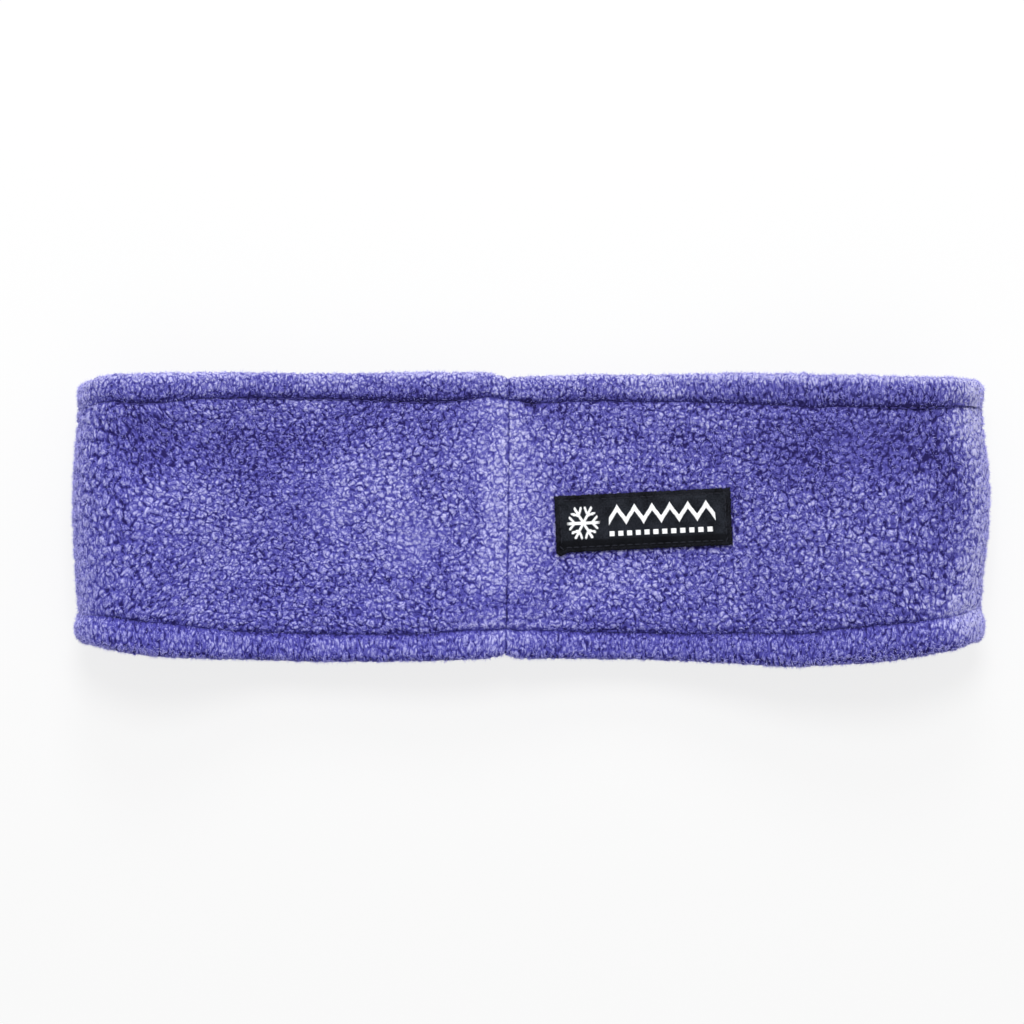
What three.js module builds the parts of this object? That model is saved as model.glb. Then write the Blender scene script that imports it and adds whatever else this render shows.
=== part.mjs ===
// An ear warmer headband of thick fleece, lying flat on a surface.
// One strip of fleece is closed into a loop by a single seam. Both of its edges are turned in and topstitched
// into soft round hems, and a small woven label is sewn on beside the seam.
// Millimetres. X runs along the flattened band, Y across it from the lower edge to the upper edge, Z is up.
// The origin is on the surface, in the middle of the band's outline.
import * as THREE from "three";

// The band as a whole.
const FLAT_LENGTH = 248; // from fold to fold, lying flat
const BAND_HEIGHT = 80.2; // from the lower edge to the upper edge, where it is widest
const LOOP_RISE = 31; // height of the round folds at the two ends
const FOLD_REACH = 18.7; // the lower layer leaves the surface this far short of each fold

// The fleece.
const FLEECE = 2.8; // thickness of the panel
const CROWN = 1.3; // how far the fleece puffs out between the hems
const STITCH_DEPTH = 1.5; // how deep a stitch line pulls the fleece in
const STITCHED_FLEECE = 1.9; // thickness of the panel where a stitch line pinches it
const TUCK_REACH = 3.4; // how far from a stitch line the fleece is back at full thickness

// The hems.
const HEM_WIDTH = 8.3;
const HEM_THICKNESS = 4.8;
const HEM_PUFF = 0.4; // the hem's outer face rounds out this far
const HEM_SQUARENESS = 2 / 3; // of its section: 1 is an oval, and less is squarer
const STITCH_GAP = 0.3; // clearance between a hem and the panel at the stitch line

// The seam that closes the loop.
const SEAM_X = -6.2;
const SEAM_NOTCH = 1.1; // depth of the valley along the seam
const SEAM_NOTCH_REACH = 1.4; // half the width of that valley
const ALLOWANCE_REACH = 8.5; // the edges folded open inside reach this far each way
const ALLOWANCE_THICKNESS = 1.8; // how far they stand into the hollow
const ALLOWANCE_LIFT = 0.6; // how far they lift the outer face

// The label.
const LABEL_LENGTH = 47.9;
const LABEL_WIDTH = 15.3;
const LABEL_THICKNESS = 0.8;
const LABEL_GAP = 0.3; // clearance to the fleece under it
const LABEL_FROM_SEAM = 36.8; // from the seam to the label's middle
const LABEL_DROP = 0.4; // its middle is this far below the middle of the band
const LABEL_TILT = THREE.MathUtils.degToRad(2.7);

// How finely the faces follow the curves.
const TOP_STEPS = 46; // along the upper layer
const FOLD_STEPS = 7; // on each quarter turn of a fold
const FLOOR_STEPS = 14; // along the lower layer
const PANEL_STEPS = 10; // across the panel
const ROW_CROWDING = 0.55; // how much closer its rows lie near the stitch lines: 0 for evenly spaced, up to 1
const HEM_SIDES = 12; // round a hem
const LABEL_STEPS = { along: 14, across: 4 };

const HALF_HEIGHT = BAND_HEIGHT / 2;
const FOLD_X = FLAT_LENGTH / 2 - CROWN; // where the folds turn round, before the fleece puffs out
const FOOT_X = FOLD_X - FOLD_REACH; // where the lower layer leaves the surface

// Height of the upper layer along the band. at: share of FOLD_X. rise: share of LOOP_RISE.
const SAG = [
  { at: -0.86, rise: 1.0 },
  { at: -0.53, rise: 0.56 },
  { at: -0.17, rise: 0.65 },
  { at: 0.2, rise: 0.475 },
  { at: 0.8, rise: 1.0 },
];

// The two edges of the upper layer. at: share of FOLD_X. upper, lower: share of HALF_HEIGHT.
const EDGES = [
  { at: -1.0, upper: 0.915, lower: -0.842 },
  { at: -0.94, upper: 0.962, lower: -0.872 },
  { at: -0.82, upper: 0.974, lower: -0.922 },
  { at: -0.61, upper: 0.988, lower: -0.955 },
  { at: -0.45, upper: 0.984, lower: -0.972 },
  { at: -0.2, upper: 0.99, lower: -0.96 },
  { at: -0.1, upper: 0.988, lower: -0.948 },
  { at: -0.05, upper: 0.96, lower: -0.93 },
  { at: -0.02, upper: 0.96, lower: -0.946 },
  { at: 0.15, upper: 0.98, lower: -0.954 },
  { at: 0.25, upper: 0.975, lower: -0.958 },
  { at: 0.42, upper: 0.982, lower: -0.976 },
  { at: 0.58, upper: 0.977, lower: -0.998 },
  { at: 0.64, upper: 0.964, lower: -0.984 },
  { at: 0.76, upper: 0.956, lower: -0.96 },
  { at: 0.88, upper: 0.948, lower: -0.91 },
  { at: 0.94, upper: 0.95, lower: -0.88 },
  { at: 1.0, upper: 0.935, lower: -0.832 },
];

// How wide the two hems are. at: share of FOLD_X. upper, lower: share of HEM_WIDTH.
const HEMS = [
  { at: -1.0, upper: 0.85, lower: 0.945 },
  { at: -0.92, upper: 0.875, lower: 1.075 },
  { at: -0.853, upper: 0.95, lower: 1.095 },
  { at: -0.787, upper: 0.93, lower: 1.075 },
  { at: -0.72, upper: 0.84, lower: 0.995 },
  { at: -0.62, upper: 0.82, lower: 0.895 },
  { at: -0.52, upper: 0.8, lower: 0.915 },
  { at: -0.39, upper: 0.84, lower: 0.905 },
  { at: -0.257, upper: 0.94, lower: 0.875 },
  { at: -0.19, upper: 0.93, lower: 0.915 },
  { at: -0.125, upper: 0.84, lower: 0.945 },
  { at: -0.06, upper: 0.76, lower: 0.905 },
  { at: 0.01, upper: 0.86, lower: 0.925 },
  { at: 0.14, upper: 0.87, lower: 0.87 },
  { at: 0.27, upper: 0.88, lower: 0.87 },
  { at: 0.34, upper: 0.9, lower: 0.875 },
  { at: 0.405, upper: 0.96, lower: 0.945 },
  { at: 0.538, upper: 1.03, lower: 1.055 },
  { at: 0.604, upper: 1.08, lower: 1.065 },
  { at: 0.67, upper: 1.01, lower: 1.14 },
  { at: 0.76, upper: 1.0, lower: 1.185 },
  { at: 0.87, upper: 0.96, lower: 1.13 },
  { at: 1.0, upper: 0.88, lower: 1.07 },
];

// Dents and swells of the upper layer. at: its middle, and along: how far it reaches each way, shares of
// FOLD_X. up and across: the same, shares of HALF_HEIGHT. swell: share of FLEECE, and negative for a dent.
const DENTS = [
  { at: -0.845, up: 0.53, along: 0.17, across: 0.34, swell: -0.6 },
  { at: -0.57, up: 0.56, along: 0.26, across: 0.44, swell: -0.5 },
  { at: -0.3, up: 0.72, along: 0.4, across: 0.28, swell: -0.32 },
  { at: -0.31, up: 0.26, along: 0.28, across: 0.6, swell: 0.36 },
  { at: -0.62, up: -0.2, along: 0.2, across: 0.8, swell: -0.22 },
  { at: -0.8, up: -0.1, along: 0.24, across: 0.6, swell: 0.2 },
  { at: 0.85, up: 0.58, along: 0.26, across: 0.48, swell: -0.55 },
  { at: 0.93, up: 0.16, along: 0.12, across: 0.5, swell: -0.28 },
  { at: 0.72, up: -0.1, along: 0.28, across: 0.7, swell: 0.25 },
];

// Where the two round folds stand out or draw in. side: -1 for the left fold, 1 for the right one.
// up, across: shares of HALF_HEIGHT. swell: how far the fold stands out.
const FOLDS = [
  { side: -1, up: 0.12, across: 0.5, swell: 0.3 },
  { side: -1, up: -0.74, across: 0.15, swell: 0.8 },
  { side: 1, up: 0.15, across: 0.55, swell: 0.8 },
  { side: 1, up: -0.42, across: 0.32, swell: -0.5 },
  { side: 1, up: -0.74, across: 0.15, swell: 0.3 },
];

// A smooth line through one column of a table. It has its crests and troughs at rows, and is level at
// both ends.
function follow(rows, column, at) {
  const last = rows.length - 1;
  const clamped = THREE.MathUtils.clamp(at, rows[0].at, rows[last].at);
  let i = 0;
  while (i < last - 1 && clamped > rows[i + 1].at) i++;
  const span = (j) => rows[j + 1].at - rows[j].at;
  const grade = (j) => (rows[j + 1][column] - rows[j][column]) / span(j);
  const slope = (j) => {
    if (j === 0 || j === last) return 0;
    const product = grade(j - 1) * grade(j);
    return product <= 0 ? 0 : (2 * product) / (grade(j - 1) + grade(j));
  };
  const t = (clamped - rows[i].at) / span(i);
  const [t2, t3] = [t * t, t * t * t];
  return (
    (2 * t3 - 3 * t2 + 1) * rows[i][column] +
    (t3 - 2 * t2 + t) * span(i) * slope(i) +
    (3 * t2 - 2 * t3) * rows[i + 1][column] +
    (t3 - t2) * span(i) * slope(i + 1)
  );
}

// 1 at the middle of a rounded hump of this reach, and 0 from its foot on.
function hump(distance, reach) {
  const t = Math.min(Math.abs(distance) / reach, 1);
  return (1 - t * t) ** 2;
}

// Height of the upper layer's outer line.
const topHeight = (x) => LOOP_RISE * follow(SAG, "rise", x / FOLD_X);

// A place on the loop's outer line, seen along Y: where it is, which way is out, and which layer it belongs
// to.
function station(x, z, normalX, normalZ, upper) {
  const normal = new THREE.Vector3(normalX, 0, normalZ).normalize();
  return { x, z, normal, upper };
}

// A place on the upper layer.
function topStation(x) {
  const step = 0.01;
  const slope = (topHeight(x + step) - topHeight(x - step)) / (2 * step);
  return station(x, topHeight(x), -slope, 1, true);
}

// Two quarter turns of an ellipse: from the surface out to the fold, and up to the crest.
function foldStations(side, crestX) {
  const middle = LOOP_RISE / 2;
  const stations = [];
  for (let i = 1; i < 2 * FOLD_STEPS; i++) {
    const angle = (i / FOLD_STEPS - 1) * (Math.PI / 2);
    const centre = i < FOLD_STEPS ? FOOT_X : Math.abs(crestX);
    const reach = FOLD_X - centre;
    const [c, s] = [Math.cos(angle), Math.sin(angle)];
    stations.push(
      station(side * (centre + reach * c), middle * (1 + s), (side * c) / reach, s / middle, i >= FOLD_STEPS),
    );
  }
  return stations;
}

// Every place round the loop: left along the surface, up the left fold, right along the top and down the
// right fold.
function loopStations() {
  const crests = [SAG[0].at * FOLD_X, SAG[SAG.length - 1].at * FOLD_X];
  const floor = [];
  for (let i = 0; i <= FLOOR_STEPS; i++)
    floor.push(station(FOOT_X - (2 * FOOT_X * i) / FLOOR_STEPS, 0, 0, -1, false));
  const seam = [-SEAM_NOTCH_REACH, 0, SEAM_NOTCH_REACH].map((offset) => SEAM_X + offset);
  const even = [];
  const step = (crests[1] - crests[0]) / TOP_STEPS;
  for (let i = 0; i <= TOP_STEPS; i++) even.push(crests[0] + i * step);
  const clearOfSeam = even.filter((x) => Math.abs(x - SEAM_X) > SEAM_NOTCH_REACH + step / 3);
  const top = [...clearOfSeam, ...seam].sort((a, b) => a - b).map(topStation);
  return [...floor, ...foldStations(-1, crests[0]), ...top, ...foldStations(1, crests[1]).reverse()];
}

// Where an edge of the band, or the inner line of a hem, runs at a place on the loop.
// The lower layer isn't seen, so its lines run straight from fold to fold.
function edgeLine(rows, column, at, upper) {
  if (upper) return follow(rows, column, at);
  return THREE.MathUtils.mapLinear(at, -1, 1, rows[0][column], rows[rows.length - 1][column]);
}

function edgesAt(place) {
  const at = place.x / FOLD_X;
  const read = (rows, column) => edgeLine(rows, column, at, place.upper);
  const top = HALF_HEIGHT * read(EDGES, "upper");
  const bottom = HALF_HEIGHT * read(EDGES, "lower");
  const topHem = HEM_WIDTH * read(HEMS, "upper");
  const bottomHem = HEM_WIDTH * read(HEMS, "lower");
  return { top, bottom, topHem, bottomHem, topStitch: top - topHem, bottomStitch: bottom + bottomHem };
}

// How deep the seam's valley is at a place, as a share of its depth.
const seamShare = (place) =>
  place.upper ? Math.max(0, 1 - Math.abs(place.x - SEAM_X) / SEAM_NOTCH_REACH) : 0;

const allowanceShare = (place) =>
  place.upper ? Math.sqrt(hump(place.x - SEAM_X, ALLOWANCE_REACH)) : 0;

// How much a stitch line pulls the panel in at y: 1 on the line and 0 from TUCK_REACH on.
function tuckShare(place, y) {
  const { topStitch, bottomStitch } = edgesAt(place);
  const away = Math.min(topStitch - y, y - bottomStitch);
  const t = THREE.MathUtils.clamp(away / TUCK_REACH, 0, 1);
  return (1 - t) ** 2;
}

// How far a fold stands out or draws in at y, most of all where the loop turns round.
function foldSwell(place, y) {
  const here = FOLDS.filter((fold) => fold.side === Math.sign(place.normal.x));
  const shares = here.map((fold) => fold.swell * hump(y / HALF_HEIGHT - fold.up, fold.across));
  return shares.reduce((sum, share) => sum + share, 0) * place.normal.x ** 2;
}

// How far the panel's outer face stands out from the loop's line at y.
function panelOffset(place, y) {
  const { topStitch, bottomStitch } = edgesAt(place);
  const fromMiddle = (2 * y - topStitch - bottomStitch) / (topStitch - bottomStitch);
  const crown = CROWN * (1 - fromMiddle ** 2);
  const facingUp = THREE.MathUtils.smoothstep(place.normal.z, 0, 0.6);
  const dents = DENTS.reduce((sum, dent) => {
    const along = (place.x / FOLD_X - dent.at) / dent.along;
    const across = (y / HALF_HEIGHT - dent.up) / dent.across;
    return sum + dent.swell * FLEECE * hump(Math.hypot(along, across), 1);
  }, 0);
  return (
    crown +
    dents * facingUp +
    foldSwell(place, y) +
    ALLOWANCE_LIFT * allowanceShare(place) -
    SEAM_NOTCH * seamShare(place) -
    STITCH_DEPTH * tuckShare(place, y)
  );
}

// A point out from the loop's line. Nothing reaches below the surface, where the fleece rests and is flat.
function pointAt(place, y, out) {
  const point = new THREE.Vector3(place.x, y, place.z).addScaledVector(place.normal, out);
  point.z = Math.max(point.z, 0);
  return point;
}

// The panel's section at a place: across its outer face from the lower stitch line to the upper one, and back
// along its inner face.
function panelSection(place) {
  const { topStitch, bottomStitch } = edgesAt(place);
  const [low, high] = [bottomStitch + STITCH_GAP, topStitch - STITCH_GAP];
  const outer = [];
  const inner = [];
  for (let i = 0; i <= PANEL_STEPS; i++) {
    const evenly = i / PANEL_STEPS;
    const crowded = (1 - Math.cos(Math.PI * evenly)) / 2;
    const y = low + (high - low) * THREE.MathUtils.lerp(evenly, crowded, ROW_CROWDING);
    const pinch = tuckShare(place, y);
    const thickness = FLEECE + (STITCHED_FLEECE - FLEECE) * pinch;
    const allowance = ALLOWANCE_THICKNESS * allowanceShare(place) * (1 - pinch);
    const face = pointAt(place, y, panelOffset(place, y));
    outer.push(face);
    inner.push(face.clone().addScaledVector(place.normal, -thickness - allowance));
  }
  return [...outer, ...inner.reverse()];
}

// A hem's section: a rounded roll between its stitch line and the band's edge. side is 1 for the upper hem.
function hemSection(place, side) {
  const edges = edgesAt(place);
  const [edge, width] = side > 0 ? [edges.top, edges.topHem] : [edges.bottom, edges.bottomHem];
  const square = (value) => Math.sign(value) * Math.abs(value) ** HEM_SQUARENESS;
  const points = [];
  for (let i = 0; i < HEM_SIDES; i++) {
    const angle = (2 * Math.PI * i) / HEM_SIDES;
    const y = edge - (side * width * (1 - square(Math.cos(angle)))) / 2;
    const out = square(Math.sin(angle)) * (HEM_THICKNESS / 2) - HEM_THICKNESS / 2;
    const puff = HEM_PUFF * Math.max(0, Math.sin(angle));
    const notch = SEAM_NOTCH * seamShare(place) * Math.max(0, Math.sin(angle));
    points.push(pointAt(place, y, out + puff - notch + foldSwell(place, y)));
  }
  return side > 0 ? points.reverse() : points;
}

// Joins two neighbouring sections of a row, side by side.
function joinSections(index, here, next, count) {
  for (let j = 0; j < count; j++) {
    const k = (j + 1) % count;
    index.push(here + j, next + k, here + k, here + j, next + j, next + k);
  }
}

function bodyGeometry(sections, index) {
  const positions = sections.flat().flatMap((point) => point.toArray());
  return new THREE.BufferGeometry()
    .setAttribute("position", new THREE.Float32BufferAttribute(positions, 3))
    .setIndex(index);
}

// A closed ring of sections.
function ringGeometry(sections) {
  const count = sections[0].length;
  const index = [];
  sections.forEach((_, i) => joinSections(index, i * count, ((i + 1) % sections.length) * count, count));
  return bodyGeometry(sections, index);
}

// The label's sections along its length: each a flat strip that follows the fleece under it.
function labelSections() {
  const middleX = SEAM_X + LABEL_FROM_SEAM;
  const sections = [];
  for (let i = 0; i <= LABEL_STEPS.along; i++) {
    const along = LABEL_LENGTH * (i / LABEL_STEPS.along - 0.5);
    const under = [];
    const over = [];
    for (let j = 0; j <= LABEL_STEPS.across; j++) {
      const across = LABEL_WIDTH * (j / LABEL_STEPS.across - 0.5);
      const x = middleX + along * Math.cos(LABEL_TILT) - across * Math.sin(LABEL_TILT);
      const y = -LABEL_DROP + along * Math.sin(LABEL_TILT) + across * Math.cos(LABEL_TILT);
      const place = topStation(x);
      const seat = panelOffset(place, y) + LABEL_GAP;
      under.push(pointAt(place, y, seat));
      over.push(pointAt(place, y, seat + LABEL_THICKNESS));
    }
    sections.push([...over, ...under.reverse()]);
  }
  return sections;
}

// A bar of sections with a flat end at each side.
function barGeometry(sections) {
  const count = sections[0].length;
  const last = (sections.length - 1) * count;
  const index = [];
  for (let here = 0; here < last; here += count) joinSections(index, here, here + count, count);
  for (let j = 0; j < count / 2 - 1; j++) {
    const [a, b, c, d] = [j, j + 1, count - 2 - j, count - 1 - j];
    index.push(a, b, c, a, c, d);
    index.push(last + a, last + c, last + b, last + a, last + d, last + c);
  }
  return bodyGeometry(sections, index);
}

const fleeceFinish = () => new THREE.MeshStandardMaterial({ color: 0x6562ac, roughness: 0.95, metalness: 0 });
const wovenFinish = () => new THREE.MeshStandardMaterial({ color: 0x292c34, roughness: 0.8, metalness: 0 });

function piece(name, geometry, material) {
  geometry.computeVertexNormals();
  const mesh = new THREE.Mesh(geometry, material);
  mesh.name = name;
  return mesh;
}

const stations = loopStations();
const headband = new THREE.Group();
headband.add(
  piece("band_panel", ringGeometry(stations.map(panelSection)), fleeceFinish()),
  piece("upper_hem", ringGeometry(stations.map((place) => hemSection(place, 1))), fleeceFinish()),
  piece("lower_hem", ringGeometry(stations.map((place) => hemSection(place, -1))), fleeceFinish()),
  piece("label", barGeometry(labelSections()), wovenFinish()),
);

export default headband;
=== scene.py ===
"""An ear warmer headband of thick fleece, lying flat, seen from straight above.

The band is one strip of fleece closed into a loop by a seam. Both of its edges are turned in and topstitched
into soft rolls, and a small woven label is sewn on beside the seam. The panel, the rolls and the label are
swept along the loop in millimetres, and Geometry Nodes raise the pile and lay the stitches and the fibres.
"""
import math
from functools import partialmethod
from types import SimpleNamespace

import bpy
import numpy as np
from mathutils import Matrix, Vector


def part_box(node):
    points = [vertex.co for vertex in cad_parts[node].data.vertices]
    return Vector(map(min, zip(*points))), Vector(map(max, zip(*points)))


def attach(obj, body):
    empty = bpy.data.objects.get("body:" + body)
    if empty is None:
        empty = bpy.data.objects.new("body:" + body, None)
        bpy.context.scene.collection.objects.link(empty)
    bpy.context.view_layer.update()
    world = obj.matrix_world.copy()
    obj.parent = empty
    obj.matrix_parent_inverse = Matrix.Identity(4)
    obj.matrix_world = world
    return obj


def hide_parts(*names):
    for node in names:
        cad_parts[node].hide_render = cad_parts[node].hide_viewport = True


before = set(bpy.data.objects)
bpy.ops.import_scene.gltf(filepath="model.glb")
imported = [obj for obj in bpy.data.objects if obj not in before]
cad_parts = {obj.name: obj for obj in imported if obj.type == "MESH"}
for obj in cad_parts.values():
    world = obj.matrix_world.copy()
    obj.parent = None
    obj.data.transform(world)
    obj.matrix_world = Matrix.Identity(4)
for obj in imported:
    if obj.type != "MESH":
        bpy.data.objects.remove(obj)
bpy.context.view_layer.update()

MM = 0.001  # everything below is in millimetres, and becomes metres as a mesh is made
FIXED_SEED = 11

# The solids give the band's main sizes.
HEM_PUFF = 0.4
hem_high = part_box("upper_hem")[1] / MM
FOLD_X = hem_high.x - HEM_PUFF
LOOP_RISE = hem_high.z - HEM_PUFF
FOLD_REACH = 18.7  # how far a round fold reaches back along the band
BETWEEN_LAYERS = 0.4 * LOOP_RISE

# The fleece.
FLEECE = 2.8
CROWN = 1.3  # how far the panel swells out halfway between its stitch lines
TUCK = SimpleNamespace(depth=0.7, reach=3.6)
CREVICE = SimpleNamespace(depth=0.3, reach=1.2)
STITCHED_FLEECE = 1.9

# The hems.
HEM_WIDTH = 8.3
HEM_THICKNESS = 4.8
HEM_SQUARENESS = 0.72
HEM_GROOVE = 0.95  # how deep the roll goes down at its stitch line
HEM_THREAD = SimpleNamespace(pitch=2.6, width=0.42)
PATTERN_APART = 90  # keeps the hems off the stretch of the pile's pattern that the panel has

# How the two hems differ. creased and drawn: at the left, and how much more at the right. The last three are
# painted light, below 0 painted shade, on the pile: all over, and how much more at the edge and in the
# groove.
UPPER_HEM = SimpleNamespace(
    side=1, creased=(0.15, 0.65), drawn=(0.7, -0.25), light=0.05, edge=1.0, groove=-0.5
)
LOWER_HEM = SimpleNamespace(
    side=-1, creased=(0.6, 0.0), drawn=(0.5, 0.0), light=0.0, edge=-0.5, groove=0.0
)

# The seam that closes the loop.
SEAM_X = -6.2
SEAM_LEAN = 0.0126  # the seam's slope to the right for each step up the band
SEAM_VALLEY = SimpleNamespace(depth=0.4, reach=1.8)
SEAM_SLIT = SimpleNamespace(depth=0.6, reach=0.4)
ALLOWANCE = SimpleNamespace(reach=8.5, thickness=1.8, lift=0.6)

# The label.
LABEL = SimpleNamespace(
    length=48.5, width=15.4, thickness=0.75, seat=0.35, from_seam=36.9, drop=0.5, tilt=math.radians(2.7)
)
LABEL_FOLD = SimpleNamespace(length=5.2, rise=0.16)  # each end is folded under
LABEL_STRIP = SimpleNamespace(bottom=(-7.3, -6.6), top=(-4.9, -4.0))  # the darker strip along its lower edge
THREAD = SimpleNamespace(pitch=2.1, inset=1.3, width=0.42)
WEFT = SimpleNamespace(pitch=0.27, height=0.16)

# The label's generic ornament: a snow crystal, a zigzag and a row of dashes, woven in white.
ORNAMENT = SimpleNamespace(
    crystal_at=-16.7, crystal_up=0.1, arm=4.5, zigzag_at=(-9.6, 20.2), zigzag_up=1.9, rise=1.75
)

# The pile.
NUB = 2.5  # across one nub of curled fibres
PILE_RISE = 0.7  # from the crevices to the crests of the pile
SLACK = 0.5  # how far the cloth wanders up and down
LOWEST = 0.02  # the height of the lowest fibres over the surface that the band lies on
FIBRE = SimpleNamespace(length=1.3, width=0.18, density=1.8, lean=(0.95, 1.6))
TUFT = SimpleNamespace(length=1.2, width=0.32, density=1.3, lean=(1.2, 1.6))
HALO = SimpleNamespace(length=1.8, width=0.14, density=7.0, lean=(0.1, 1.2))
FRAY = SimpleNamespace(length=1.3, width=0.13, density=12.0, lean=(1.1, 1.6))

# Painted light on the pile, and below 0 painted shade: in dents, beside the seam as a painted highlight, and
# as painted sheen where the loop turns round.
DENT_LIGHT = 0.8
SEAM_PILE = SimpleNamespace(reach=13, light=0.5, pressed=0.35)
FOLD_SHEEN = SimpleNamespace(turn=(0.3, 0.85), light=0.8, more_at_right=0.28, middle=0.85, more_at_hems=0.5)

# Colours. The fleece has three: painted shade for its gaps, its own colour, and painted highlights for its
# crests. The label has pairs of dark and light.
DEEP_SHADE, BODY, LIGHT = (0.018, 0.014, 0.09, 1), (0.074, 0.069, 0.33, 1), (0.47, 0.465, 0.74, 1)
WARM_LIGHT = SimpleNamespace(along=0.3, up=0.45, blue=(1.085, 0.9))  # painted warm light: less blue to the right and upwards, as if lit warmer from the upper right
LABEL_MIDDLE = (0.003, 0.0038, 0.006, 1), (0.025, 0.0285, 0.0385, 1)
LABEL_RIM = (0.0005, 0.0005, 0.001, 1), (0.014, 0.0155, 0.022, 1)
LABEL_STRIP_TONE = (0.001, 0.001, 0.002, 1)


def table(columns, *rows):
    """A small table's columns by name."""
    return dict(zip(columns.split(), np.array(rows, float).T))


# Height of the upper layer along the band. at: share of FOLD_X. rise: share of LOOP_RISE.
SAG = table("at rise", (-0.86, 1.0), (-0.53, 0.56), (-0.17, 0.65), (0.2, 0.475), (0.8, 1.0))

# The two edges of the upper layer. at: share of FOLD_X. upper, lower: share of HALF_HEIGHT.
EDGES = table(
    "at upper lower",
    (-1.0, 0.915, -0.842),
    (-0.94, 0.962, -0.872),
    (-0.82, 0.974, -0.922),
    (-0.61, 0.988, -0.955),
    (-0.45, 0.984, -0.972),
    (-0.2, 0.99, -0.96),
    (-0.1, 0.988, -0.948),
    (-0.05, 0.96, -0.93),
    (-0.02, 0.96, -0.946),
    (0.15, 0.98, -0.954),
    (0.25, 0.975, -0.958),
    (0.42, 0.982, -0.976),
    (0.58, 0.977, -0.998),
    (0.64, 0.964, -0.984),
    (0.76, 0.956, -0.96),
    (0.88, 0.948, -0.91),
    (0.94, 0.95, -0.88),
    (1.0, 0.935, -0.832),
)
HALF_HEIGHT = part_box("lower_hem")[0].y / MM / EDGES["lower"].min()

# How wide the two hems are. at: share of FOLD_X. upper, lower: share of HEM_WIDTH.
HEMS = table(
    "at upper lower",
    (-1.0, 0.85, 0.945),
    (-0.92, 0.875, 1.075),
    (-0.853, 0.95, 1.095),
    (-0.787, 0.93, 1.075),
    (-0.72, 0.84, 0.995),
    (-0.62, 0.82, 0.895),
    (-0.52, 0.8, 0.915),
    (-0.39, 0.84, 0.905),
    (-0.257, 0.94, 0.875),
    (-0.19, 0.93, 0.915),
    (-0.125, 0.84, 0.945),
    (-0.06, 0.76, 0.905),
    (0.01, 0.86, 0.925),
    (0.14, 0.87, 0.87),
    (0.27, 0.88, 0.87),
    (0.34, 0.9, 0.875),
    (0.405, 0.96, 0.945),
    (0.538, 1.03, 1.055),
    (0.604, 1.08, 1.065),
    (0.67, 1.01, 1.14),
    (0.76, 1.0, 1.185),
    (0.87, 0.96, 1.13),
    (1.0, 0.88, 1.07),
)

# Where the two round folds stand out or draw in. side: -1 for the left fold. up, across: shares of
# HALF_HEIGHT. swell: millimetres.
FOLDS = table(
    "side up across swell",
    (-1, 0.12, 0.5, 0.3),
    (-1, 0.74, 0.14, 0.1),
    (-1, -0.74, 0.15, 0.8),
    (1, 0.15, 0.55, 0.8),
    (1, -0.42, 0.32, -0.5),
    (1, -0.74, 0.15, 0.3),
)

# Dents and swells of the upper layer. at, along: shares of FOLD_X. up, across: shares of HALF_HEIGHT.
# swell: share of FLEECE, and negative for a dent.
DENTS = table(
    "at up along across swell",
    (-0.845, 0.53, 0.17, 0.34, -0.6),
    (-0.57, 0.56, 0.26, 0.44, -0.5),
    (-0.3, 0.72, 0.4, 0.28, -0.32),
    (-0.31, 0.26, 0.28, 0.6, 0.36),
    (-0.62, -0.2, 0.2, 0.8, -0.22),
    (-0.8, -0.1, 0.24, 0.6, 0.2),
    (0.85, 0.58, 0.26, 0.48, -0.55),
    (0.93, 0.16, 0.12, 0.5, -0.28),
    (0.72, -0.1, 0.28, 0.7, 0.25),
)

# Patches of painted light or, below 0, painted shade, partly also the way the pile lies. The places are as in
# DENTS.
LIGHT_SHADE_PATCHES = table(
    "at up along across light",
    (-0.34, -0.15, 0.22, 0.45, 0.25),
    (-0.61, -0.15, 0.12, 0.35, 0.22),
    (-0.21, 0.43, 0.14, 0.45, -0.3),
    (-0.52, 0.7, 0.18, 0.22, 0.4),
    (0.63, 0.42, 0.2, 0.5, -0.5),
    (0.8, 0.1, 0.16, 0.6, -0.15),
    (0.89, -0.1, 0.07, 0.5, -0.25),
    (-0.48, 0.88, 0.2, 0.16, 0.36),
    (0.63, 0.9, 0.2, 0.16, -0.35),
    (-0.05, -0.57, 0.17, 0.19, -0.5),
    (-0.02, -0.87, 0.09, 0.12, -0.28),
    (-0.125, 0.05, 0.03, 0.5, -0.35),
    (-0.05, 0.53, 0.05, 0.12, 0.35),
    (0.1, -0.56, 0.04, 0.15, 0.4),
    (0.7, -0.49, 0.05, 0.1, -0.35),
    (-0.43, -0.86, 0.08, 0.1, 0.35),
    (0.9, -0.86, 0.08, 0.08, 0.3),
    (0.88, 0.4, 0.06, 0.14, -0.3),
    (-0.69, 0.36, 0.06, 0.14, -0.35),
    (-0.17, 0.88, 0.05, 0.1, -0.3),
    (0.0, 0.88, 0.06, 0.13, -0.4),
    (0.28, 0.88, 0.16, 0.13, 0.33),
    (0.3, -0.85, 0.25, 0.14, -0.08),
    (-0.69, 0.55, 0.07, 0.28, -0.35),
    (-0.43, 0.6, 0.06, 0.2, -0.25),
    (0.37, 0.5, 0.2, 0.13, -0.25),
    (0.71, 0.3, 0.08, 0.2, 0.2),
    (-0.87, -0.15, 0.06, 0.35, -0.25),
    (-0.31, -0.55, 0.1, 0.13, 0.3),
    (-0.33, 0.2, 0.13, 0.12, 0.25),
    (0.93, -0.62, 0.09, 0.22, 0.6),
    (0.95, 0.65, 0.07, 0.28, 0.5),
    (0.19, -0.42, 0.22, 0.25, 0.35),
    (-0.005, 0.785, 0.027, 0.045, -1.2),
    (-0.05, 0.87, 0.02, 0.09, -0.6),
    (0.06, 0.7, 0.07, 0.14, -0.42),
)

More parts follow.
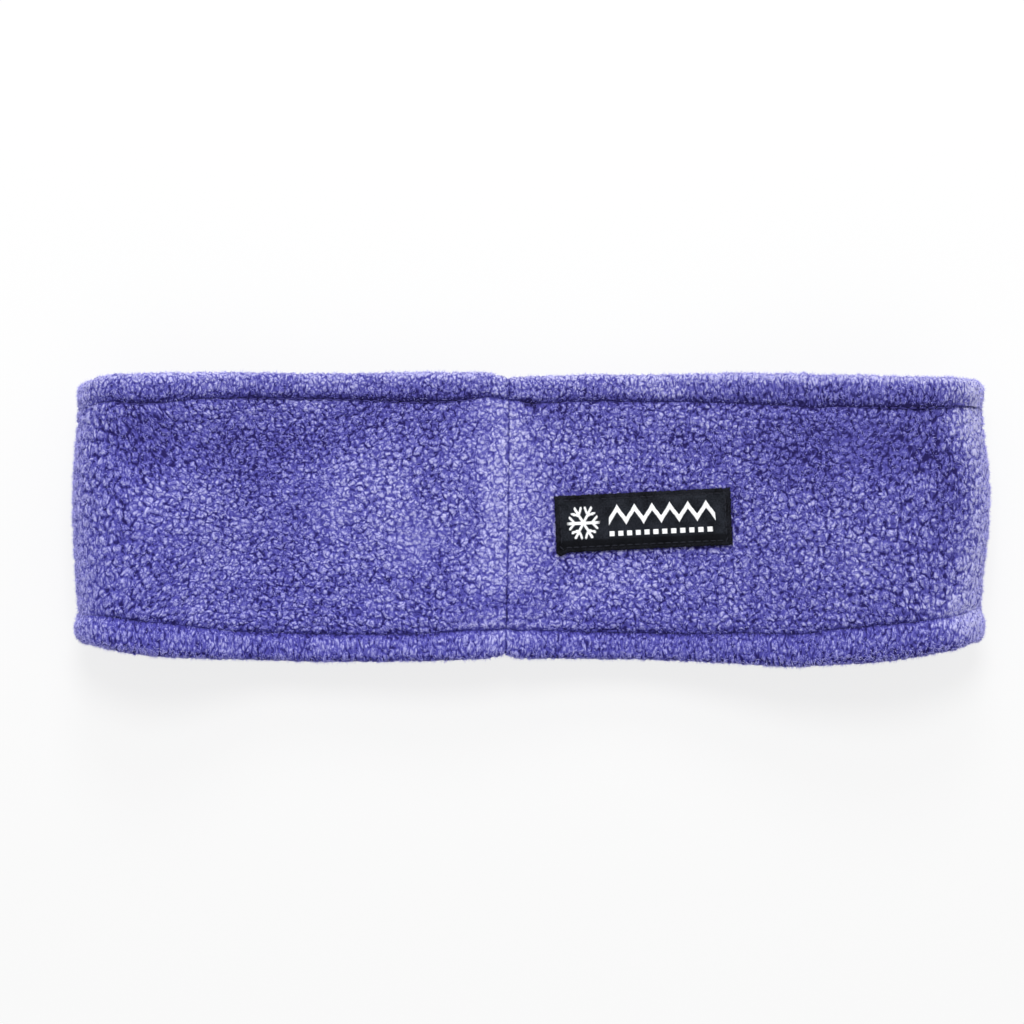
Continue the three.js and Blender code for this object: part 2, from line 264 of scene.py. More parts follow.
# Patches where the pile is matted flat, by this share of its height.
MATTED = table(
    "at up along across share",
    (-0.47, 0.07, 0.16, 0.3, 0.4),
    (-0.25, -0.14, 0.09, 0.35, 0.55),
    (0.73, 0.52, 0.16, 0.35, 0.45),
    (0.79, 0.3, 0.08, 0.2, 0.3),
    (-0.97, -0.45, 0.08, 0.5, 0.4),
)

# A small pinch in the upper groove beside the seam, in millimetres.
PINCHES = table(
    "at up along across depth",
    (1.2, 30.2, 0.9, 3.0, 0.9),
    (-0.4, 31.5, 3.2, 1.7, 0.9),
)


def follow(rows, column, at):
    """A smooth line through one column of a table, with crests and troughs at rows, level at its ends."""
    stops, values = rows["at"], rows[column]
    span = np.diff(stops)
    grade = np.diff(values) / span
    product = grade[:-1] * grade[1:]
    total = np.where(product > 0, grade[:-1] + grade[1:], 1.0)
    slope = np.zeros_like(stops)
    slope[1:-1] = np.where(product > 0, 2 * product / total, 0.0)
    at = np.clip(at, stops[0], stops[-1])
    i = np.clip(np.searchsorted(stops, at, side="right") - 1, 0, len(span) - 1)
    t = (at - stops[i]) / span[i]
    level = (2 * t**3 - 3 * t**2 + 1) * values[i] + (3 * t**2 - 2 * t**3) * values[i + 1]
    lean = (t**3 - 2 * t**2 + t) * slope[i] + (t**3 - t**2) * slope[i + 1]
    return level + lean * span[i]


def hump(distance, reach):
    """1 at the middle of a rounded hump of this reach, and 0 from its foot on."""
    return (1 - np.minimum(np.abs(distance) / reach, 1) ** 2) ** 2


def dip(distance, reach):
    """1 on a line, and 0 from this reach on, with a sharp bottom."""
    return (1 - np.clip(distance / reach, 0, 1)) ** 2


def bell(distance, reach):
    """1 on a line, and softly towards 0 beyond this reach."""
    return np.exp(-((distance / reach) ** 2))


def ease(value, low, high):
    """0 below low, 1 above high, and a soft step between them."""
    t = np.clip((value - low) / (high - low), 0, 1)
    return t * t * (3 - 2 * t)


def ripple(at, longest, count, seed):
    """An irregular wave from -1 to 1 along a line: a few sines, each shorter than the one before."""
    chance = np.random.default_rng(seed)
    waves = [
        np.sin(2 * math.pi * (at / (longest * 0.63**i * chance.uniform(0.9, 1.1)) + chance.random()))
        for i in range(count)
    ]
    return sum(waves) / count


# The loop.
def loop_line(step=0.05):
    """The loop's outer line seen along Y, from the seam to the right, under and back: x, z, length so far."""
    left, right = SAG["at"][0] * FOLD_X, SAG["at"][-1] * FOLD_X
    foot, middle = FOLD_X - FOLD_REACH, LOOP_RISE / 2
    turn = np.arange(0, math.pi / 2, step / 20)

    def top(start, end):
        x = np.arange(start, end, step)
        return x, LOOP_RISE * follow(SAG, "rise", x / FOLD_X)

    def down_to_fold(side, crest):
        return side * (abs(crest) + (FOLD_X - abs(crest)) * np.sin(turn)), middle * (1 + np.cos(turn))

    def fold_to_floor(side):
        return side * (foot + FOLD_REACH * np.cos(turn)), middle * (1 - np.sin(turn))

    floor = np.arange(foot, -foot, -step)
    stretches = [
        top(SEAM_X, right),
        down_to_fold(1, right),
        fold_to_floor(1),
        (floor, np.zeros_like(floor)),
        tuple(line[::-1] for line in fold_to_floor(-1)),
        tuple(line[::-1] for line in down_to_fold(-1, left)),
        top(left, SEAM_X),
    ]
    x, z = (np.concatenate(lines) for lines in zip(*stretches))
    x, z = np.append(x, x[0]), np.append(z, z[0])
    length = np.concatenate([[0], np.cumsum(np.hypot(np.diff(x), np.diff(z)))])
    return x, z, length


LINE_X, LINE_Z, LINE_LENGTH = loop_line()
LOOP_LENGTH = LINE_LENGTH[-1]


def places(s):
    """The places at these lengths along the loop: where each is, which way is out, where the edges run."""
    x = np.interp(s, LINE_LENGTH, LINE_X)
    z = np.interp(s, LINE_LENGTH, LINE_Z)
    ahead = [np.interp((s + 0.3) % LOOP_LENGTH, LINE_LENGTH, line) for line in (LINE_X, LINE_Z)]
    behind = [np.interp((s - 0.3) % LOOP_LENGTH, LINE_LENGTH, line) for line in (LINE_X, LINE_Z)]
    run, climb = ahead[0] - behind[0], ahead[1] - behind[1]
    size = np.hypot(run, climb)
    place = SimpleNamespace(s=s, x=x, z=z, out_x=-climb / size, out_z=run / size)
    place.upper = z > LOOP_RISE / 2 - 1e-6
    place.upper |= (z > BETWEEN_LAYERS) & (np.abs(x) < FOLD_X - FOLD_REACH)

    def share(rows, column):
        straight = np.interp(x / FOLD_X, [-1, 1], rows[column][[0, -1]])
        return np.where(place.upper, follow(rows, column, x / FOLD_X), straight)

    place.top = HALF_HEIGHT * share(EDGES, "upper")
    place.bottom = HALF_HEIGHT * share(EDGES, "lower")
    place.top_stitch = place.top - HEM_WIDTH * share(HEMS, "upper") + 0.12 * ripple(s, 9, 3, 3)
    place.bottom_stitch = place.bottom + HEM_WIDTH * share(HEMS, "lower") + 0.12 * ripple(s, 9, 3, 4)
    return place


def spread(top, fold, floor, seam):
    """Lengths along the loop, close together where the band shows most. The spacings are in millimetres."""
    crest = np.where(LINE_X > 0, SAG["at"][-1], -SAG["at"][0]) * FOLD_X
    upper = LINE_Z > LOOP_RISE / 2
    lower = (LINE_Z < BETWEEN_LAYERS) & (np.abs(LINE_X) < FOLD_X - FOLD_REACH)
    spacing = np.where(upper, top, fold)
    spacing = np.where(upper & (np.abs(LINE_X) > crest), 0.5 * (top + fold), spacing)
    spacing = np.where(lower, floor, spacing)
    from_seam = np.minimum(LINE_LENGTH, LOOP_LENGTH - LINE_LENGTH)
    spacing = seam + (spacing - seam) * ease(from_seam, 0.6, 2.4)
    count = np.concatenate([[0], np.cumsum(np.diff(LINE_LENGTH) / spacing[1:])])
    total = round(count[-1])
    return np.interp(np.arange(total) / total * count[-1], count, LINE_LENGTH)


def across_band(place):
    """The same places with a second axis, for values that change across the band."""
    wide = {name: values[:, None] for name, values in vars(place).items()}
    return SimpleNamespace(**wide)


def seam_distance(place):
    """How far the places are from the seam. On the lower layer all are far from it."""
    return np.where(place.upper, np.abs(place.x - SEAM_X), FOLD_X)


def patches(rows, place, y):
    """The sum of a table's rounded patches on the upper layer at y."""
    total = 0
    for at, up, along, across, amount in zip(*rows.values()):
        away = np.hypot((place.x / FOLD_X - at) / along, (y / HALF_HEIGHT - up) / across)
        total = total + amount * hump(away, 1)
    return total * ease(place.out_z, 0, 0.6)


def swelling(place, y):
    """How far the upper layer swells out or is dented at y, as a share of the fleece's thickness."""
    return patches(DENTS, place, y)


def fold_swell(place, y):
    """How far a fold stands out or draws in at y, most of all where the loop turns round."""
    total = 0
    for side, up, across, swell in zip(*FOLDS.values()):
        total = total + (np.sign(place.out_x) == side) * swell * hump(y / HALF_HEIGHT - up, across)
    return total * place.out_x**2


def painted_pile_light(place, y):
    """How much painted light, or below 0 painted shade, the pile gets at y: over dents and swells, in
    patches, as a painted highlight beside the seam and as painted sheen round the folds.
    """
    seam_highlight = SEAM_PILE.light * bell(seam_distance(place), SEAM_PILE.reach)
    share = FOLD_SHEEN.middle + FOLD_SHEEN.more_at_hems * (y / HALF_HEIGHT) ** 2
    sheen_share = ease(np.abs(place.out_x), *FOLD_SHEEN.turn) * share
    at_folds = (FOLD_SHEEN.light + FOLD_SHEEN.more_at_right * np.sign(place.out_x)) * sheen_share
    return patches(LIGHT_SHADE_PATCHES, place, y) + DENT_LIGHT * swelling(place, y) + seam_highlight + at_folds


def nub_count(x):
    """How close together the pile's nubs lie across the panel at x: they are drawn long near the folds."""
    return 1 + 0.2 * ease(-x, 20, 60) - 0.5 * ease(-x, 85, 118) - 0.3 * ease(x, 80, 116)


def seam_groove(place, y):
    """How deep the seam's valley and slit are. The slit is deeper in some places than in others."""
    from_seam = seam_distance(place)
    valley = SEAM_VALLEY.depth * dip(from_seam, SEAM_VALLEY.reach)
    return valley + SEAM_SLIT.depth * dip(from_seam, SEAM_SLIT.reach) * (0.75 + 0.25 * ripple(y, 14, 4, 8))


def pinches(place, y):
    """How deep the pinch beside the seam is at y."""
    total = 0
    for at, up, along, across, depth in zip(*PINCHES.values()):
        total = np.maximum(total, depth * hump(np.hypot((place.x - at) / along, (y - up) / across), 1))
    return total * place.upper


def groove_shade(from_stitch, place):
    """How dark the pile is at a stitch line's groove, which opens where the band turns round."""
    return 0.55 * bell(from_stitch, 0.7) * (1 - 0.7 * place.out_x**2)


def creases(at, spacing, reach, seed):
    """Sharp small folds across a line at irregular places, each from 0 to 1 deep."""
    chance = np.random.default_rng(seed)
    lines = np.cumsum(chance.uniform(0.5, 1.5, int(LOOP_LENGTH / spacing)) * spacing)
    depths = chance.uniform(0.15, 1, len(lines))
    return sum(depth * dip(np.abs(at - line), reach) for line, depth in zip(lines, depths))


def squared(value):
    """Turns a sine or cosine into that of a rounded rectangle."""
    return np.sign(value) * np.abs(value) ** HEM_SQUARENESS


def panel_offset(place, y):
    """How far the panel's outer face stands out from the loop's line at y."""
    middle = (place.top_stitch + place.bottom_stitch) / 2
    half = (place.top_stitch - place.bottom_stitch) / 2
    from_stitch = half - np.abs(y - middle)
    flat = np.abs(place.out_z)
    tucked = (0.15 + 0.85 * flat) * TUCK.depth * dip(from_stitch, TUCK.reach)
    tucked = tucked + (0.1 + 0.9 * flat) * CREVICE.depth * dip(from_stitch, CREVICE.reach)
    lift = ALLOWANCE.lift * np.sqrt(hump(seam_distance(place), ALLOWANCE.reach))
    rounded = CROWN * (1 - ((y - middle) / half) ** 2) + FLEECE * swelling(place, y) + lift
    return rounded + fold_swell(place, y) - seam_groove(place, y) - tucked


def points_at(place, y, out):
    """Points out from the loop's line. Nothing reaches below the surface that the band lies on."""
    y = np.broadcast_to(y, np.broadcast_shapes(np.shape(y), np.shape(out), np.shape(place.x)))
    x = place.x + place.out_x * out + SEAM_LEAN * y * hump(seam_distance(place), 30)
    z = place.z + place.out_z * out + 0 * y
    return np.stack([x, y, np.maximum(z, 0)], axis=-1)


def label_point(along, across):
    """A point of the label's own plan, seen from above."""
    x = SEAM_X + LABEL.from_seam + along * math.cos(LABEL.tilt) - across * math.sin(LABEL.tilt)
    y = -LABEL.drop + along * math.sin(LABEL.tilt) + across * math.cos(LABEL.tilt)
    return x, y


def inside_label(x, y):
    """How far a point is inside the label's outline, seen from above. It is negative outside."""
    x, y = x - SEAM_X - LABEL.from_seam, y + LABEL.drop
    along = x * math.cos(LABEL.tilt) + y * math.sin(LABEL.tilt)
    across = y * math.cos(LABEL.tilt) - x * math.sin(LABEL.tilt)
    return np.minimum(LABEL.length / 2 - np.abs(along), LABEL.width / 2 - np.abs(across))


# Meshes.
def swept_mesh(points, place, t, values, fineness=1.0):
    """A closed ring of closed sections. Its map "cloth" holds the lengths along and across the cloth."""
    stations, count = points.shape[:2]
    i, j = (grid.ravel() for grid in np.meshgrid(np.arange(stations), np.arange(count), indexing="ij"))
    ahead, over = i + 1, j + 1
    corners = [(i, j), (ahead, j), (ahead, over), (i, over)]
    faces = np.stack([(a % stations) * count + b % count for a, b in corners], axis=1)
    s = np.append(place.s, LOOP_LENGTH)
    t = np.concatenate([t, t[:1]])

    def at_corners(first, second):
        return np.stack([np.stack([first[a], second[a, b]], axis=-1) for a, b in corners], axis=1)

    flat = at_corners(s / LOOP_LENGTH, (t - t.min()) / (t.max() - t.min()))
    maps = {"cloth": fineness * at_corners(s, t), "OFBake": flat}
    return plain_mesh(points.reshape(-1, 3), faces, maps, values)


def plain_mesh(points, faces, maps=None, values=None):
    """A mesh in metres of points in millimetres and of faces with the same number of corners."""
    mesh = bpy.data.meshes.new("mesh")
    mesh.vertices.add(len(points))
    mesh.vertices.foreach_set("co", (np.asarray(points) * MM).ravel())
    mesh.loops.add(faces.size)
    mesh.loops.foreach_set("vertex_index", faces.ravel())
    mesh.polygons.add(len(faces))
    mesh.polygons.foreach_set("loop_start", np.arange(0, faces.size, faces.shape[1]))
    mesh.update(calc_edges=True)
    mesh.shade_smooth()
    for key, numbers in (maps or {}).items():
        mesh.uv_layers.new(name=key).uv.foreach_set("vector", numbers.ravel().astype(np.float32))
    for key, numbers in (values or {}).items():
        kept = mesh.attributes.new(key, "FLOAT", "POINT")
        kept.data.foreach_set("value", numbers.ravel().astype(np.float32))
    mesh.validate()
    return mesh


def placed(name, mesh, *materials):
    """An object at the origin that shows a mesh."""
    mesh.name = name
    thing = bpy.data.objects.new(name, mesh)
    bpy.context.scene.collection.objects.link(thing)
    for material in materials:
        mesh.materials.append(material)
    return thing


# Node trees written as expressions.
class Wire:
    """An output of a node. Sums, products and powers of wires add Math nodes."""

    def __init__(self, graph, socket):
        self.graph, self.socket = graph, socket

    def sibling(self, name):
        """Another output of the same node."""
        return Wire(self.graph, self.socket.node.outputs[name])

    def part(self, axis):
        """One number of a vector: its X, Y or Z."""
        return self.graph.node("ShaderNodeSeparateXYZ", None, {0: self}, axis)

    def math(self, operation, *others):
        return self.graph.node("ShaderNodeMath", {"operation": operation}, dict(enumerate((self, *others))))

    def vector(self, operation, other):
        return self.graph.node("ShaderNodeVectorMath", {"operation": operation}, {0: self, 1: other})

    def scaled(self, amount):
        return self.graph.node("ShaderNodeVectorMath", {"operation": "SCALE"}, {0: self, "Scale": amount})

    def step(self, low, high, start=0.0, end=1.0):
        """Goes softly from start to end as this goes from low to high."""
        ends = {"Value": self, "From Min": low, "From Max": high, "To Min": start, "To Max": end}
        return self.graph.node("ShaderNodeMapRange", {"interpolation_type": "SMOOTHSTEP"}, ends, "Result")

    def __rsub__(self, other):
        return self.graph.node("ShaderNodeMath", {"operation": "SUBTRACT"}, {0: other, 1: self})

    __add__ = __radd__ = partialmethod(math, "ADD")
    __mul__ = __rmul__ = partialmethod(math, "MULTIPLY")
    __sub__ = partialmethod(math, "SUBTRACT")
    __pow__ = partialmethod(math, "POWER")


class Graph:
    """A node tree and the one method that adds nodes to it."""

    def __init__(self, tree):
        self.tree = tree

    def node(self, kind, settings=None, inputs=None, out=0):
        made = self.tree.nodes.new(kind)
        for key, value in (settings or {}).items():
            setattr(made, key, value)
        self.feed(made, inputs or {})
        return Wire(self, self.pick(made.outputs, out))

    def feed(self, node, inputs):
        """Gives a node's inputs their values and wires."""
        for key, value in inputs.items():
            socket = self.pick(node.inputs, key)
            if isinstance(value, Wire):
                self.tree.links.new(value.socket, socket)
            else:
                socket.default_value = value

    @staticmethod
    def pick(sockets, key):
        """The socket with this number, identifier or name."""
        if isinstance(key, int):
            return sockets[key]
        exact = [socket for socket in sockets if socket.identifier == key]
        named = [socket for socket in sockets if socket.name == key and socket.enabled]
        return (exact or named)[0]

    def painted(self, name, out="Fac"):
        """What a mesh keeps under this name, as a material reads it."""
        return self.node("ShaderNodeAttribute", {"attribute_name": name}, None, out)

    def kept(self, name, kind="FLOAT"):
        """What a mesh keeps under this name, as Geometry Nodes read it."""
        return self.node("GeometryNodeInputNamedAttribute", {"data_type": kind}, {"Name": name}, "Attribute")

    def noise(self, at, size, detail=2.0, out="Fac", roughness=0.5):
        inputs = {"Vector": at, "Scale": 1 / size, "Detail": detail, "Roughness": roughness}
        return self.node("ShaderNodeTexNoise", {"noise_dimensions": "2D"}, inputs, out)

    def line_noise(self, at, size, width):
        """1 along winding lines, and 0 away from them."""
        return (self.noise(at, size, detail=1.0) - 0.5).math("ABSOLUTE").step(0.0, width, 1.0, 0.0)

    def cells(self, at, size, feature="F1"):
        settings = {"voronoi_dimensions": "2D", "feature": feature}
        return self.node("ShaderNodeTexVoronoi", settings, {"Vector": at, "Scale": 1 / size}, "Distance")

    def random(self, low, high, seed):
        inputs = {"Min": low, "Max": high, "Seed": seed}
        return self.node("FunctionNodeRandomValue", {"data_type": "FLOAT_VECTOR"}, inputs, "Value")

    def mix(self, share, first, second):
        """A colour between two others."""
        inputs = {"Factor_Float": share, "A_Color": first, "B_Color": second}
        return self.node("ShaderNodeMix", {"data_type": "RGBA"}, inputs, "Result_Color")


def shader_graph(name):
    """A new material, its graph and its surface shader."""
    material = bpy.data.materials.new(name)
    material.use_nodes = True
    tree = material.node_tree
    shader = next(node for node in tree.nodes if node.type == "BSDF_PRINCIPLED")
    return material, Graph(tree), shader


def geometry_graph(name, **sizes):
    """A new Geometry Nodes tree with a geometry input and one number input for each size."""
    tree = bpy.data.node_groups.new(name, "GeometryNodeTree")
    tree.interface.new_socket("Geometry", in_out="INPUT", socket_type="NodeSocketGeometry")
    for key, value in sizes.items():
        tree.interface.new_socket(key, in_out="INPUT", socket_type="NodeSocketFloat").default_value = value
    tree.interface.new_socket("Geometry", in_out="OUTPUT", socket_type="NodeSocketGeometry")
    graph = Graph(tree)
    entry = tree.nodes.new("NodeGroupInput")
    exit_node = tree.nodes.new("NodeGroupOutput")
    wires = {socket.name: Wire(graph, socket) for socket in entry.outputs if socket.name}
    return graph, wires, exit_node.inputs[0]


def finish_graph(graph, geometry, material, exit_socket):
    """Ends a Geometry Nodes tree: real geometry with its material."""
    real = graph.node("GeometryNodeRealizeInstances", None, {"Geometry": geometry})
    dressed = graph.node("GeometryNodeSetMaterial", None, {"Geometry": real, "Material": material})
    graph.tree.links.new(dressed.socket, exit_socket)
    return graph.tree


def grown(name, mesh, tree):
    """An object with the plain mesh that a Geometry Nodes tree makes of this mesh."""
    thing = placed(name, mesh)
    modifier = thing.modifiers.new("Shape", "NODES")
    modifier.node_group = tree
    scene_graph = bpy.context.evaluated_depsgraph_get()
    made = bpy.data.meshes.new_from_object(
        thing.evaluated_get(scene_graph), preserve_all_data_layers=True, depsgraph=scene_graph
    )
    thing.modifiers.remove(modifier)
    thing.data = made
    bpy.data.meshes.remove(mesh)
    made.name = name
    return thing


# The pile: the same pattern raises the mesh and colours the cloth, with painted shade in its gaps and painted
# highlights on its curls.
def pile_pattern(graph, cloth):
    """Three parts of the pile over the cloth, each from 0 to 1: round nubs, winding gaps and small curls."""
    bend = graph.noise(cloth, 2.2, detail=1.0, out="Color").vector("SUBTRACT", (0.5, 0.5, 0.5))
    curled = cloth.vector("ADD", bend.scaled(1.7))
    aside = curled.vector("ADD", (37.0, 11.0, 0.0))
    matted = graph.noise(cloth, 5.0, detail=2.0).step(0.35, 0.6, 0.5, 1.0)
    between = graph.cells(curled, NUB, feature="DISTANCE_TO_EDGE").step(0.0, 0.24, 1.0, 0.0)
    finer = graph.cells(aside, 0.6 * NUB, feature="DISTANCE_TO_EDGE").step(0.0, 0.2, 1.0, 0.0)
    gap = (between * matted + finer * 0.4 + graph.line_noise(aside, 3.2, 0.05) * 0.4).math("MINIMUM", 1.0)
    clump = graph.cells(curled, NUB).step(0.1, 0.8, 1.0, 0.0)
    curl = graph.cells(aside, 0.4 * NUB).step(0.1, 0.75, 1.0, 0.0)
    return clump, gap, curl


def pile_height(clump, gap, curl):
    """Height of the pile, from about 0 in the gaps to 1 on the curls."""
    return 0.35 + clump * 0.4 - gap * 0.35 + curl * 0.25


def fleece_material(name):
    material, graph, shader = shader_graph(name)
    cloth = graph.painted("cloth", "Vector")
    stands, hollow, light = (graph.painted(key) for key in ("nap", "hollow", "light"))
    clump, gap, curl = pile_pattern(graph, cloth)
    grain = graph.noise(cloth, 0.36, roughness=0.7)
    brushed = graph.noise(cloth, 11.0, detail=3.0, roughness=0.6)
    free = stands.step(0.0, 1.0, 0.45, 1.0)
    # Painted shade in the gaps and painted highlights on the curls. The light map adds painted light and
    # shade, and hollow adds painted shade in the grooves, the seam's slit and the pinch.
    level = curl * 0.45 - gap * free * 0.48 + grain * 0.35 - 0.19
    level = level * free + 0.5 + (brushed - 0.5) * 0.35 + light * 0.42 - hollow * 0.55
    tone = graph.mix(level.step(0.0, 0.55), DEEP_SHADE, BODY)
    tone = graph.mix(level.step(0.45, 1.15), tone, LIGHT)
    place = graph.node("ShaderNodeTexCoord", None, None, "Object")
    warm_light = place.part("X") * (WARM_LIGHT.along / (FOLD_X * MM))
    warm_light = warm_light + place.part("Y") * (WARM_LIGHT.up / (HALF_HEIGHT * MM))
    tint_inputs = {"X": 1.0, "Y": 1.0, "Z": warm_light.step(-1.0, 1.0, *WARM_LIGHT.blue)}
    tint = graph.node("ShaderNodeCombineXYZ", None, tint_inputs)
    relief = pile_height(clump, gap, curl) * free + grain * 0.2
    bump_inputs = {"Strength": 0.4, "Distance": 0.4 * PILE_RISE * MM, "Height": relief}
    inputs = {
        "Base Color": tone.vector("MULTIPLY", tint),
        "Normal": graph.node("ShaderNodeBump", None, bump_inputs, "Normal"),
        "Roughness": 0.95,
        "Specular IOR Level": 0.0,
        "Sheen Weight": 1.0,
        "Sheen Roughness": 0.3,
        "Sheen Tint": (0.55, 0.53, 1.0, 1),
    }
    graph.feed(shader, inputs)
    return material


def plain_material(name, colour, roughness, sheen=0.0):
    material, graph, shader = shader_graph(name)
    inputs = {"Base Color": colour, "Roughness": roughness, "Specular IOR Level": 0.05, "Sheen Weight": sheen}
    graph.feed(shader, inputs)
    return material


def above_floor(graph, geometry):
    """Lifts what would reach below the surface that the band lies on."""
    rested = graph.node("GeometryNodeInputPosition").vector("MAXIMUM", (-1.0, -1.0, LOWEST * MM))
    return graph.node("GeometryNodeSetPosition", None, {"Geometry": geometry, "Position": rested})


def pile_tree(material):
    """Raises the pile on a smooth piece of cloth and gives it a little slackness."""
    graph, given, way_out = geometry_graph("Fleece pile", Rise=PILE_RISE, Slack=SLACK)
    cloth = graph.kept("cloth", "FLOAT_VECTOR")
    height = pile_height(*pile_pattern(graph, cloth))
    slack = graph.noise(cloth, 8.0) - 0.5
    raised = (height - 0.5) * given["Rise"] * graph.kept("nap")
    rise = (raised + slack * given["Slack"]) * (1 - graph.kept("hollow"))
    offset = graph.node("GeometryNodeInputNormal").scaled(rise * MM)
    lifted = graph.node("GeometryNodeSetPosition", None, {"Geometry": given["Geometry"], "Offset": offset})
    return finish_graph(graph, above_floor(graph, lifted), material, way_out)


def fibre_tree(name, material, fibre, seed, where="fuzz"):
    """Curled fibres over a piece of cloth, more of them where this number is high."""
    sizes = {"Density": fibre.density, "Length": fibre.length, "Width": fibre.width}
    graph, given, way_out = geometry_graph(name, **sizes)
    _, gap, _ = pile_pattern(graph, graph.kept("cloth", "FLOAT_VECTOR"))
    clear_of_floor = graph.node("GeometryNodeInputPosition").part("Z").step(0.5 * MM, 1.0 * MM)
    density = given["Density"] * graph.kept(where) * (1 - gap) * clear_of_floor * (1 / MM**2)
    spot_settings = {"distribute_method": "RANDOM"}
    spot_inputs = {"Mesh": given["Geometry"], "Density": density, "Seed": seed}
    spots = graph.node("GeometryNodeDistributePointsOnFaces", spot_settings, spot_inputs, "Points")
    ball = graph.node("GeometryNodeMeshUVSphere", None, {"Segments": 3, "Rings": 2, "Radius": 0.5}, "Mesh")
    side = graph.node("GeometryNodeInputPosition").part("X")
    across, along = side.sibling("Y"), side.sibling("Z")
    bow = (1 - (along * 2.0) ** 2) * 0.22
    shape_inputs = {
        "X": (side * given["Width"] + bow * given["Length"]) * MM,
        "Y": across * given["Width"] * MM,
        "Z": along * given["Length"] * MM,
    }
    shape = graph.node("ShaderNodeCombineXYZ", None, shape_inputs)
    strand = graph.node("GeometryNodeSetPosition", None, {"Geometry": ball, "Position": shape})
    lean = graph.random((fibre.lean[0], 0.0, 0.0), (fibre.lean[1], 0.0, 2 * math.pi), seed + 1)
    turn_inputs = {"Rotation": spots.sibling("Rotation"), "Rotate By": lean}
    turned = graph.node("FunctionNodeRotateRotation", {"rotation_space": "LOCAL"}, turn_inputs, "Rotation")
    size = graph.random((0.75, 0.75, 0.45), (1.25, 1.25, 1.25), seed + 2)
    inputs = {"Points": spots, "Instance": strand, "Rotation": turned, "Scale": size}
    strands = graph.node("GeometryNodeInstanceOnPoints", None, inputs, "Instances")
    strands = graph.node("GeometryNodeRealizeInstances", None, {"Geometry": strands})
    return finish_graph(graph, above_floor(graph, strands), material, way_out)


def stitch_tree(name, material, thread):
    """Stitches of one size along a line: short rounded lengths of thread, with a gap between each two."""
    graph, given, way_out = geometry_graph(name, Pitch=thread.pitch, Width=thread.width)
    line = graph.node("GeometryNodeMeshToCurve", None, {"Mesh": given["Geometry"]}, "Curve")
    inputs = {"Curve": line, "Length": given["Pitch"] * MM}
    marks = graph.node("GeometryNodeCurveToPoints", {"mode": "LENGTH"}, inputs, "Points")
    ahead = marks.sibling("Tangent")
    thread_inputs = {"Segments": 6, "Rings": 4, "Radius": 0.5 * MM}
    bead = graph.node("GeometryNodeMeshUVSphere", None, thread_inputs, "Mesh")
    facing = graph.node("FunctionNodeAlignRotationToVector", {"axis": "Z"}, {"Vector": ahead}, "Rotation")
    across = given["Width"]
    size = graph.node("ShaderNodeCombineXYZ", None, {"X": across, "Y": across, "Z": given["Pitch"] * 0.86})
    inputs = {"Points": marks, "Instance": bead, "Rotation": facing, "Scale": size}
    stitches = graph.node("GeometryNodeInstanceOnPoints", None, inputs, "Instances")
    return finish_graph(graph, stitches, material, way_out)


# The pieces.
def make_panel():
    """The fleece between the stitch lines, right round the loop: its outer face, then its inner one."""
    place = places(spread(top=0.52, fold=0.8, floor=2.0, seam=0.12))
    wide = across_band(place)
    height = wide.top_stitch - wide.bottom_stitch
    outer_rows, inner_rows = 114, 24
    share = np.linspace(0, 1, outer_rows)
    share = share + 0.55 * (0.5 - 0.5 * np.cos(math.pi * share) - share)
    outer_y = wide.bottom_stitch + height * share
    inner_y = wide.top_stitch - height * np.linspace(0, 1, inner_rows)
    from_seam = seam_distance(wide)

    outer_gap = np.minimum(wide.top_stitch - outer_y, outer_y - wide.bottom_stitch)
    under_label = ease(inside_label(wide.x + 0 * outer_y, outer_y), -0.2, 0.7) * wide.upper
    pinched = pinches(wide, outer_y)
    outer = panel_offset(wide, outer_y) - 0.2 * under_label - pinched
    slit_shade = bell(from_seam, 0.25) * (0.55 + 0.3 * ripple(outer_y, 11, 4, 9))
    pressed = SEAM_PILE.pressed * bell(from_seam, SEAM_PILE.reach)
    standing = (1 - pressed) * (1 - patches(MATTED, wide, outer_y))
    fuzzy = (0.12 + 0.88 * wide.upper) * ease(outer_gap, -0.1, 0.4) * (1 - under_label)
    # light: painted light and shade. hollow: painted shade in the seam's slit, the pinch and the stitch
    # grooves. halo: where the pale edge fibres of painted sheen stand.
    outer_values = {
        "nap": standing * (0.35 + 0.65 * ease(outer_gap, 0.0, 1.0)) * (1 - 0.9 * under_label),
        "hollow": np.maximum(np.maximum(slit_shade, 1.4 * pinched), groove_shade(outer_gap, wide)),
        "light": painted_pile_light(wide, outer_y),
        "fuzz": fuzzy * ease(from_seam, 0.2, 0.6),
        "halo": wide.out_x**4,
    }

    inner_gap = np.minimum(wide.top_stitch - inner_y, inner_y - wide.bottom_stitch)
    pinch = dip(inner_gap, TUCK.reach)
    allowance = ALLOWANCE.thickness * np.sqrt(hump(from_seam, ALLOWANCE.reach))
    inner = panel_offset(wide, inner_y) + seam_groove(wide, inner_y)
    inner = inner - FLEECE + (FLEECE - STITCHED_FLEECE) * pinch - allowance * (1 - pinch)
    inner_values = {"nap": 0.7, "hollow": 0, "light": 0, "fuzz": 0, "halo": 0}
    inner_points = points_at(wide, inner_y, inner)
    sunk = np.minimum(wide.z + wide.out_z * panel_offset(wide, inner_y), 0)
    inner_points[..., 2] -= sunk * (wide.out_z < 0)

    points = np.concatenate([points_at(wide, outer_y, outer), inner_points], axis=1)
    inner_t = 2 * wide.top_stitch - inner_y + FLEECE
    t = np.concatenate([outer_y, inner_t, inner_t[:, -1:] + FLEECE], axis=1) * nub_count(wide.x)
    values = {
        key: np.concatenate([outer_values[key] + 0 * outer, inner_values[key] + 0 * inner], axis=1)
        for key in outer_values
    }
    return swept_mesh(points, place, t, values)


